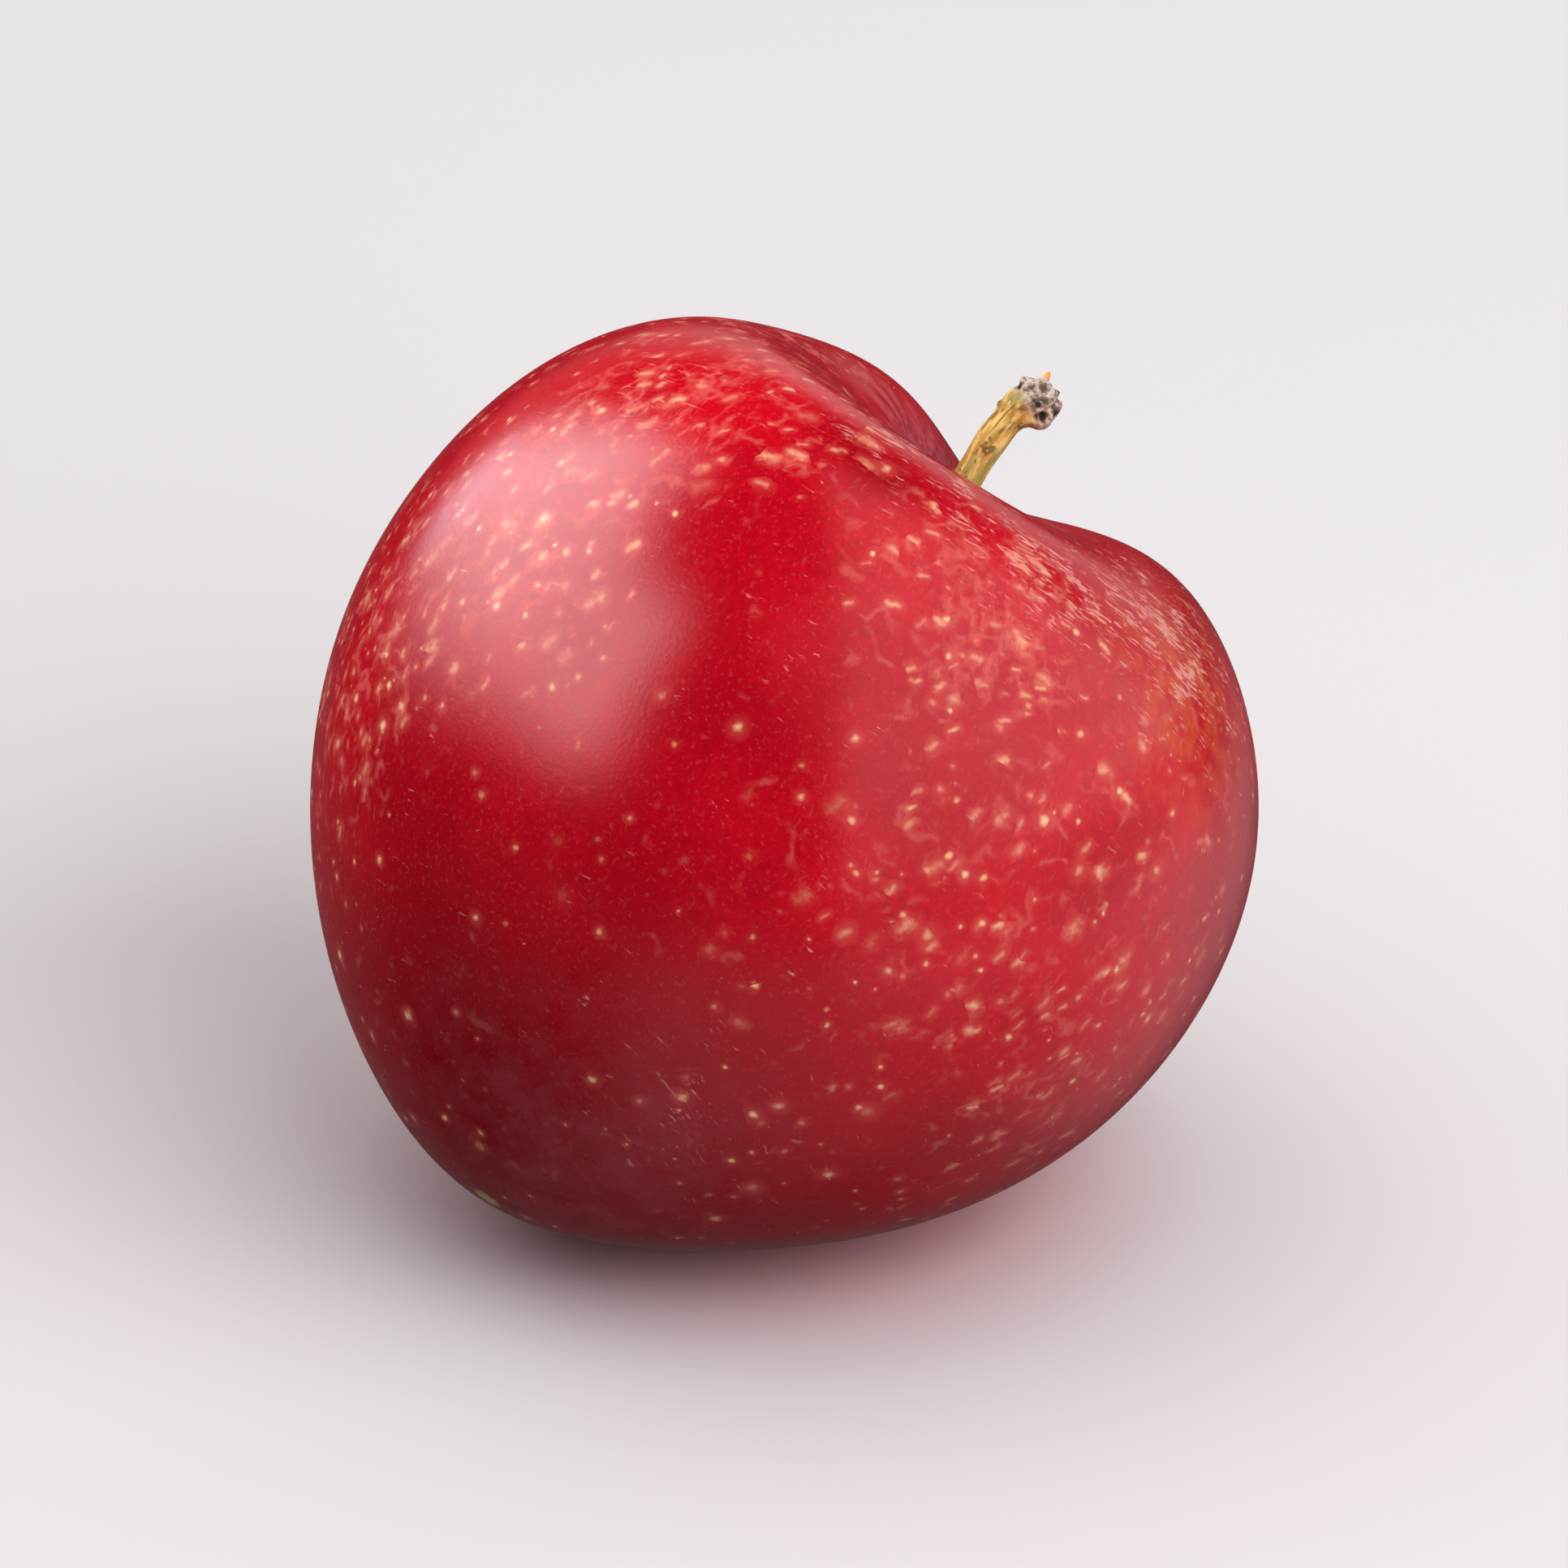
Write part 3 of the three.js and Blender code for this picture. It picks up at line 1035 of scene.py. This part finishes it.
@dataclass(frozen=True)
class Station:
    """A cross-section of the stalk: where its middle is, from the cavity's floor, and its radius."""

    middle: tuple[float, float, float]
    radius: float

    def row(self) -> Vector:
        """The middle and the radius as one vector of four."""
        return Vector((*self.middle, self.radius))


@dataclass(frozen=True)
class Crumbs:
    """One scale of the corky head's relief, which crests where a noise is near its middle."""

    scale: float
    sharpness: float
    share: float
    shift: tuple[float, float, float]

    def crest(self, place: Vector) -> float:
        """How near a place is to a crest: the scale's whole share on it, and 0 in a hollow."""
        away = abs(noise.noise(place * self.scale + Vector(self.shift)))
        return self.share * (1.0 - min(1.0, self.sharpness * away))


@dataclass(frozen=True)
class BarkPlace:
    """A place on the stalk, before its relief.

    The turn is in radians. ring and along go from 0 at the foot to 1 at the head; along leaves the
    rounded ends out. inside is how far in over an end the place is. head, knot and splinter are how
    much of each there is at the place.
    """

    turn: float
    ring: float
    along: float
    inside: float
    head: float
    knot: float
    splinter: float


@dataclass
class Stalk:
    """The woody stalk with its corky broken head.

    Turns and widths round the stalk are in degrees, and places and lengths along it are shares of its
    length. The rim's depth and the splinter's drop and spread are counted in caps, where a cap is the
    share that each rounded end takes up.
    """

    form: FruitForm
    placing: Matrix
    finish: BarkFinish
    stations: tuple[Station, ...] = (
        Station((0.0, 0.0, -0.5), 0.98),
        Station((0.0, 0.0, 1.2), 0.94),
        Station((-0.18, -0.1, 3.2), 0.88),
        Station((-0.42, -0.2, 5.2), 0.84),
        Station((-0.56, -0.28, 6.9), 0.92),
        Station((-0.54, -0.28, 8.2), 0.88),
        Station((-0.42, -0.2, 9.1), 1.15),
        Station((-0.18, -0.06, 9.8), 1.45),
        Station((0.06, 0.06, 10.5), 1.45),
        Station((0.2, 0.15, 11.1), 1.15),
    )
    sides: int = 96
    rings: int = 230
    ridges: int = 5
    ridge_height: float = 0.07
    ridge_twist: float = 60.0
    knobs: int = 7
    knob_height: float = 0.11
    head_from: float = 0.66
    head_to: float = 0.8
    crumble: float = 0.42
    crumble_level: float = 0.75
    crumbs: tuple[Crumbs, ...] = (
        Crumbs(0.75, 2.6, 0.6, (3.0, 1.0, 8.0)),
        Crumbs(1.7, 2.2, 0.4, (5.0, 7.0, 2.0)),
    )
    bark_depth: float = 0.06
    bark_round: float = 3.2
    bark_along: float = 0.22
    strand_pace: float = 0.2
    foot_reach: tuple[float, float] = (0.08, 0.3)
    bend_step: float = 0.01
    cap: float = 0.06
    dish: float = 0.35
    rim_jag: float = 0.55
    jag_round: float = 2.1
    jag_shift: tuple[float, float, float] = (9.0, 2.0, 4.0)
    rim_depth: float = 2.2
    rim_inner: tuple[float, float] = (0.1, 0.5)
    splinter_turn: float = -112.0
    splinter_width: float = 17.0
    splinter_drop: float = 1.1
    splinter_spread: float = 0.5
    splinter_length: float = 0.55
    splinter_edge: tuple[float, float] = (0.3, 0.7)
    knot_at: float = 0.6
    knot_turn: float = -160.0
    knot_width: float = 26.0
    knot_length: float = 0.022
    knot_height: float = 0.16

    def _section(self, along: float) -> Vector:
        """The middle and radius of the stalk at a share of its length, on a smooth curve."""
        rows = [station.row() for station in self.stations]
        rows = [2.0 * rows[0] - rows[1], *rows, 2.0 * rows[-1] - rows[-2]]
        spans = len(rows) - 3
        step = min(spans - 1, int(along * spans))
        t = along * spans - step
        before, first, second, after = rows[step : step + 4]
        bend = 2.0 * before - 5.0 * first + 4.0 * second - after
        twist = 3.0 * first - before - 3.0 * second + after
        return (2.0 * first + (second - before) * t + bend * t * t + twist * t**3) / 2.0

    def _axis(self, along: float) -> tuple[Vector, float, Vector]:
        """The middle and radius of the stalk at a share of its length, and which way it runs there."""
        row = self._section(along)
        ahead = Vector(self._section(min(1.0, along + self.bend_step))[:3])
        behind = Vector(self._section(max(0.0, along - self.bend_step))[:3])
        return Vector(row[:3]), row[3], (ahead - behind).normalized()

    def _place(self, unit: Vector) -> BarkPlace:
        """Which place of the stalk a point of the unit sphere becomes."""
        turn = math.atan2(unit.y, unit.x)
        ring = 1.0 - polar_of(unit) / 180.0
        along = min(1.0, max(0.0, (ring - self.cap) / (1.0 - 2.0 * self.cap)))
        width = min(1.0, ring / self.cap, (1.0 - ring) / self.cap)
        beside_knot = wrapped(math.degrees(turn) - self.knot_turn) / self.knot_width
        knot = bell((along - self.knot_at) / self.knot_length) * bell(beside_knot)
        beside_splinter = wrapped(math.degrees(turn) - self.splinter_turn) / self.splinter_width
        above = (ring - (1.0 - self.splinter_drop * self.cap)) / (self.splinter_spread * self.cap)
        splinter = bell(beside_splinter) * bell(above)
        head = fade(along, self.head_from, self.head_to)
        return BarkPlace(turn, ring, along, 1.0 - width, head, knot, splinter)

    def _spread(self, place: BarkPlace, radius: float, crest: float) -> float:
        """How far the surface is from the stalk's middle line, with its relief.

        Args:
            place: The place on the stalk.
            radius: The plain radius there.
            crest: How near the place is to a crest of the corky head.

        Returns:
            The distance.
        """
        ridge_turn = self.ridges * place.turn + math.radians(self.ridge_twist) * place.along
        ridge = self.ridge_height * math.cos(ridge_turn) * (1.0 - place.head)
        knob = self.knob_height * math.cos(self.knobs * place.turn) * place.head
        height = STEM_AXIS * place.along * self.length() * self.bark_along
        fibre = noise.noise(level_direction(place.turn) * self.bark_round + height) * self.bark_depth
        relief = (fibre + place.knot * self.knot_height) * (1.0 - place.head)
        crumbling = (crest - self.crumble_level) * self.crumble * place.head
        return radius * (1.0 + ridge + knob) + relief + crumbling

    def _lift(self, place: BarkPlace, sunk: float) -> float:
        """How far the broken end rises along the stalk at a place; below zero where it sinks."""
        rim = fade(place.ring, 1.0 - self.rim_depth * self.cap, 1.0 - self.cap)
        rim *= 1.0 - fade(place.inside, *self.rim_inner)
        jagged = noise.noise(level_direction(place.turn) * self.jag_round + Vector(self.jag_shift))
        jag = rim * self.rim_jag * jagged * place.head
        dished = self.dish * place.inside * place.head + sunk * place.inside * self.crumble
        return place.splinter * self.splinter_length + jag - dished

    def length(self) -> float:
        """How long the stalk is along the stem axis."""
        return self.stations[-1].middle[2] - self.stations[0].middle[2]

    def build(self) -> bpy.types.Object:
        """Makes the stalk in place of its node.

        Returns:
            The stalk, riding on the frame's body.
        """
        mesh = bmesh.new()
        bmesh.ops.create_uvsphere(mesh, u_segments=self.sides, v_segments=self.rings, radius=1.0)
        bark = mesh.verts.layers.float_color.new("bark")
        wear = mesh.verts.layers.float_color.new("wear")
        strands = mesh.verts.layers.float_vector.new("strands")
        floor = self.form.cavity_floor()
        for vertex in mesh.verts:
            place = self._place(vertex.co.normalized())
            middle, radius, tangent = self._axis(place.along)
            side = Vector((0.0, 1.0, 0.0)).cross(tangent).normalized()
            outward = side * math.cos(place.turn) + tangent.cross(side) * math.sin(place.turn)
            width = 1.0 - place.inside
            crest = sum(crumbs.crest(middle + outward * radius * width) for crumbs in self.crumbs)
            sunk = (1.0 - crest) * place.head * (1.0 - place.splinter)
            point = middle + outward * self._spread(place, radius, crest) * width
            point += tangent * self._lift(place, sunk)
            # The sunk level also darkens the head's hollows as painted shade in the bark's colour.
            vertex[bark] = (place.head, sunk, fade(place.splinter, *self.splinter_edge), 1.0)
            vertex[wear] = (1.0 - fade(place.along, *self.foot_reach), place.knot, 0.0, 1.0)
            height = STEM_AXIS * place.along * self.length() * self.strand_pace
            vertex[strands] = level_direction(place.turn) * radius + height
            vertex.co = self.placing @ (floor + point)
        bmesh.ops.recalc_face_normals(mesh, faces=mesh.faces)
        piece = new_piece("plum_stalk", mesh, self.finish.material())
        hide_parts("stem")
        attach(piece, "root")
        LOG.info("stalk: %d faces", len(piece.data.polygons))
        return piece


# ---- Studio ----


def toward(azimuth: float, elevation: float) -> Vector:
    """The direction at an azimuth, 0 on the camera's side and growing to its right, and an elevation."""
    across, level = math.radians(azimuth), math.cos(math.radians(elevation))
    return Vector((math.sin(across) * level, -math.cos(across) * level, math.sin(math.radians(elevation))))


NEUTRAL: Colour = (1.0, 1.0, 1.0)
FLOOR_LIGHT: Colour = (1.0, 0.985, 0.985)


@dataclass(frozen=True)
class SoftBox:
    """A soft area lamp that faces the plum, with its distance, width and height in metres."""

    name: str
    azimuth: float
    elevation: float
    distance: float
    width: float
    height: float
    watts: float
    colour: Colour

    def hang(self, target: Vector, lit: bpy.types.Collection) -> bpy.types.Object:
        """Puts the lamp in the scene, turned to the target.

        Args:
            target: What the lamp faces.
            lit: The only things that it lights.

        Returns:
            The lamp.
        """
        lamp = bpy.data.lights.new(self.name, "AREA")
        lamp.shape = "RECTANGLE"
        lamp.size, lamp.size_y = self.width, self.height
        lamp.energy = self.watts
        lamp.color = self.colour
        hung = bpy.data.objects.new(self.name, lamp)
        bpy.context.scene.collection.objects.link(hung)
        away = toward(self.azimuth, self.elevation)
        hung.location = target + away * self.distance
        hung.rotation_euler = (-away).to_track_quat("-Z", "Y").to_euler()
        hung.visible_camera = False
        hung.visible_glossy = False
        hung.light_linking.receiver_collection = lit
        return hung


@dataclass(frozen=True)
class Spot:
    """A round area of the surroundings, full up to the first reach in degrees and gone at the second."""

    azimuth: float
    elevation: float
    reach: tuple[float, float]

    def seen(self, look: Signal) -> Signal:
        """How much of the spot is seen in a direction."""
        near, far = (2.0 * math.sin(math.radians(reach) / 2.0) for reach in self.reach)
        return 1.0 - (look - toward(self.azimuth, self.elevation)).length().rise(near, far)


@dataclass(frozen=True)
class Surroundings:
    """The studio as the gloss of the skin mirrors it, and the air that the camera sees past the floor."""

    window_azimuth: float = -99.0
    window_half_width: tuple[float, float] = (34.0, 58.0)
    window_low: tuple[float, float] = (10.0, 32.0)
    window_low_at_back: tuple[float, float] = (-3.0, 32.0)
    window_high: tuple[float, float] = (47.5, 64.5)
    window_high_at_back: tuple[float, float] = (47.5, 70.5)
    window_back: tuple[float, float] = (-25.0, 25.0)
    window_gain: tuple[float, float] = (0.97, 1.12)
    window: Colour = (5.6, 5.7, 6.0)
    screen_side: tuple[float, float] = (0.1, 0.22)
    screen_foot: tuple[float, float] = (-0.75, -0.25)
    screen_foot_share: float = 0.36
    screen_rise: tuple[float, float] = (-0.1, 0.15)
    screen_edge: tuple[float, float] = (0.45, 0.95)
    screen_gain: float = 0.45
    screen: Colour = (1.05, 1.08, 1.1)
    behind: tuple[float, float] = (0.22, 0.6)
    strip_low: tuple[float, float] = (-0.15, 0.02)
    strip_high: tuple[float, float] = (0.22, 0.42)
    strip_side: tuple[float, float] = (-0.3, 0.2)
    strip_least: float = 0.25
    strip: Colour = (0.58, 0.56, 0.55)
    floor_sink: tuple[float, float] = (0.12, 0.42)
    floor_depth: tuple[float, float] = (-0.75, 0.2)
    floor_side: tuple[float, float] = (0.15, 0.8)
    floor_beyond: tuple[float, float] = (-0.5, 0.1)
    depth_loss: float = 0.8
    beyond_gain: float = 1.4
    gap: Spot = Spot(-72.0, -22.0, (26.0, 42.0))
    core: Spot = Spot(-141.0, 11.0, (2.0, 13.0))
    core_glow: Colour = (2.2, 2.3, 2.8)
    floor: Colour = (0.34, 0.34, 0.37)
    air: Colour = (0.80, 0.79, 0.80)
    fill: float = 0.12

    def _shifted(self, back: Signal, near_edge: Sequence[float], far_edge: Sequence[float]) -> list[Signal]:
        """Where a soft edge of the window starts and ends, in radians, as it shifts toward the far end."""
        pairs = zip(map(math.radians, near_edge), map(math.radians, far_edge), strict=True)
        return [near + back * (far - near) for near, far in pairs]

    def _window(self, recipe: Recipe, look: Signal) -> Signal:
        """How bright the window is in a direction.

        Args:
            recipe: The world's nodes.
            look: The direction, of length 1.

        Returns:
            The brightness. At its far end the window reaches lower and higher, and is brighter.
        """
        turn = {"Vector": look, "Rotation": (0.0, 0.0, math.radians(-self.window_azimuth))}
        across, front, height = recipe.signal("ShaderNodeMapping", {"vector_type": "POINT"}, turn).parts()
        azimuth = recipe.signal("ShaderNodeMath", {"operation": "ARCTAN2"}, {0: across, 1: -front})
        elevation = recipe.signal("ShaderNodeMath", {"operation": "ARCSINE"}, {0: height})
        back = (-azimuth).rise(*map(math.radians, self.window_back))
        low = elevation.rise(*self._shifted(back, self.window_low, self.window_low_at_back))
        high = elevation.rise(*self._shifted(back, self.window_high, self.window_high_at_back))
        beside = abs(azimuth).rise(*map(math.radians, self.window_half_width))
        near, far = self.window_gain
        return (1.0 - beside) * low * (1.0 - high) * (near + back * (far - near))

    def _glows(self, recipe: Recipe, look: Signal) -> tuple[tuple[Signal, Colour], ...]:
        """How bright each thing of the studio is in a direction, with its colour.

        Args:
            recipe: The world's nodes.
            look: The direction, of length 1.

        Returns:
            The floor, the screen, the strip behind the plum, the window and the core of its light.
        """
        x, y, z = look.parts()
        beyond = y.rise(*self.floor_beyond) * x.rise(*self.floor_side) * self.beyond_gain
        near = 1.0 - y.rise(*self.floor_depth) * self.depth_loss + beyond
        ground = (-z).rise(*self.floor_sink) * (1.0 - self.gap.seen(look)) * near
        behind = y.rise(*self.behind)
        beside = x.rise(*self.screen_side) * (1.0 + x.rise(*self.screen_edge) * self.screen_gain)
        foot = z.rise(*self.screen_foot) * self.screen_foot_share
        above = foot + z.rise(*self.screen_rise) * (1.0 - self.screen_foot_share)
        end = self.strip_least + (1.0 - self.strip_least) * x.rise(*self.strip_side)
        strip = z.rise(*self.strip_low) * (1.0 - z.rise(*self.strip_high)) * end
        return (
            (ground, self.floor),
            (beside * above * (1.0 - behind), self.screen),
            (behind * strip, self.strip),
            (self._window(recipe, look), self.window),
            (self.core.seen(look), self.core_glow),
        )

    def hang(self) -> None:
        """Makes the scene's world."""
        recipe = Recipe("studio surroundings", bpy.data.worlds)
        bpy.context.scene.world = recipe.material
        look = recipe.signal("ShaderNodeTexCoord", {}, {}, "Generated")
        glows = self._glows(recipe, look)
        mirrored = reduce(add, (recipe.joined(*(glow * part for part in tint)) for glow, tint in glows))
        path = recipe.node("ShaderNodeLightPath", {}, {})
        fill = tuple(self.fill * part for part in self.air)
        seen = recipe.mix(Signal(recipe, path.outputs["Is Glossy Ray"]), fill, mirrored)
        seen = recipe.mix(Signal(recipe, path.outputs["Is Camera Ray"]), seen, self.air)
        background = recipe.signal("ShaderNodeBackground", {}, {"Color": seen})
        recipe.node("ShaderNodeOutputWorld", {}, {"Surface": background})
        recipe.material.cycles.sampling_method = "NONE"


@dataclass
class Studio:
    """The pale floor, the soft lamps, the surroundings and the camera.

    The floor's radius and the camera's distance and field width are in metres, and what else is a
    length is in millimetres.
    """

    lamps: tuple[SoftBox, ...] = (
        SoftBox("left lamp", -118.0, 38.0, 0.95, 0.7, 0.5, 9.2, NEUTRAL),
        SoftBox("right lamp", 36.0, 47.0, 0.95, 1.0, 0.9, 12.9, NEUTRAL),
        SoftBox("back lamp", 150.0, 25.0, 0.95, 0.6, 0.4, 1.5, NEUTRAL),
    )
    floor_lamps: tuple[SoftBox, ...] = (
        SoftBox("side floor lamp", -110.0, 58.0, 1.0, 1.0, 1.0, 1.5, FLOOR_LIGHT),
        SoftBox("front floor lamp", 48.0, 34.0, 1.7, 2.2, 1.36, 38.0, FLOOR_LIGHT),
        SoftBox("ceiling lamp", 0.0, 90.0, 1.0, 2.2, 2.2, 17.0, FLOOR_LIGHT),
    )
    surroundings: Surroundings = Surroundings()
    floor_radius: float = 3.0
    floor_sides: int = 96
    floor_drop: float = 0.05
    floor_colour: Colour = (0.62, 0.60, 0.61)
    # Painted light: a pink-red tint round the plum's contact that stands in for red light bounced off the
    # plum into its shadow.
    painted_red_bounce: Colour = (0.63, 0.31, 0.36)
    painted_bounce_reach: tuple[float, float] = (5.0, 27.0)
    floor_bounce: float = 0.55
    floor_fade: tuple[float, float] = (150.0, 600.0)
    camera_elevation: float = 28.0
    camera_distance: float = 0.9
    camera_drop: float = 0.73
    field_width: float = 0.0905
    sensor: float = 36.0

    def lay_floor(self) -> bpy.types.Object:
        """The floor that the plum rests on."""
        mesh = bmesh.new()
        bmesh.ops.create_circle(mesh, cap_ends=True, segments=self.floor_sides, radius=self.floor_radius)
        bmesh.ops.translate(mesh, verts=mesh.verts, vec=(0.0, 0.0, -self.floor_drop * MILLIMETRE))
        recipe = Recipe("pale floor")
        seen = recipe.signal("ShaderNodeLightPath", {}, {}, "Is Camera Ray")
        place = recipe.signal("ShaderNodeTexCoord", {}, {}, "Object") * (1.0 / MILLIMETRE)
        # Painted light: the floor turns pink-red near the plum, a painted bounce of the plum's red light
        # into its shadow.
        colour = recipe.mix(place.length().rise(*self.painted_bounce_reach), self.painted_red_bounce, self.floor_colour)
        dim = tuple(self.floor_bounce * part for part in self.floor_colour)
        near = recipe.signal("ShaderNodeBsdfDiffuse", {}, {"Color": recipe.mix(seen, dim, colour)})
        far = recipe.signal("ShaderNodeEmission", {}, {"Color": self.surroundings.air})
        distant = place.length().rise(*self.floor_fade) * seen
        shader = recipe.node("ShaderNodeMixShader", {}, {0: distant, 1: near, 2: far})
        floor = new_piece("studio_floor", mesh, recipe.finish(shader))
        floor.visible_glossy = False
        floor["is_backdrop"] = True
        return floor

    def set_camera(self, target: Vector) -> bpy.types.Object:
        """The camera, looking along +Y and down at the target."""
        camera = bpy.data.cameras.new("camera")
        camera.sensor_width = self.sensor
        camera.lens = self.sensor * self.camera_distance / self.field_width
        stand = bpy.data.objects.new("camera", camera)
        bpy.context.scene.collection.objects.link(stand)
        elevation = math.radians(self.camera_elevation)
        back = Vector((0.0, -math.cos(elevation), math.sin(elevation)))
        upward = Vector((0.0, math.sin(elevation), math.cos(elevation)))
        stand.location = target + back * self.camera_distance - upward * self.camera_drop * MILLIMETRE
        stand.rotation_euler = (-back).to_track_quat("-Z", "Y").to_euler()
        bpy.context.scene.camera = stand
        return stand

    def build(self, target: Vector, pieces: Sequence[bpy.types.Object]) -> None:
        """Sets up the studio round the plum.

        Args:
            target: What the camera and the lamps face.
            pieces: The plum's own pieces, which have other lamps than the floor.
        """
        floor_only = bpy.data.collections.new("lit by the floor lamps")
        floor_only.objects.link(self.lay_floor())
        for lamp in self.floor_lamps:
            lamp.hang(target, floor_only)
        plum_only = bpy.data.collections.new("lit by the plum's lamps")
        for piece in pieces:
            plum_only.objects.link(piece)
        for lamp in self.lamps:
            lamp.hang(target, plum_only)
        self.surroundings.hang()
        self.set_camera(target)
        bpy.context.scene.view_settings.view_transform = "Standard"
        LOG.info("studio: %d lamps", len(self.lamps) + len(self.floor_lamps))


def main() -> None:
    """Builds the plum around the frame, then the studio."""
    logging.basicConfig(level=logging.INFO, format="%(name)s: %(message)s")
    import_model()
    frame_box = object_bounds()
    form = FruitForm()
    placing = Lay().placing(form)
    fruit = Fruit(form, placing, SkinFinish()).build()
    stalk = Stalk(form, placing, BarkFinish()).build()
    low, high = frame_box
    Studio().build((low + high) / 2.0, (fruit, stalk))


if __name__ == "__main__":
    main()
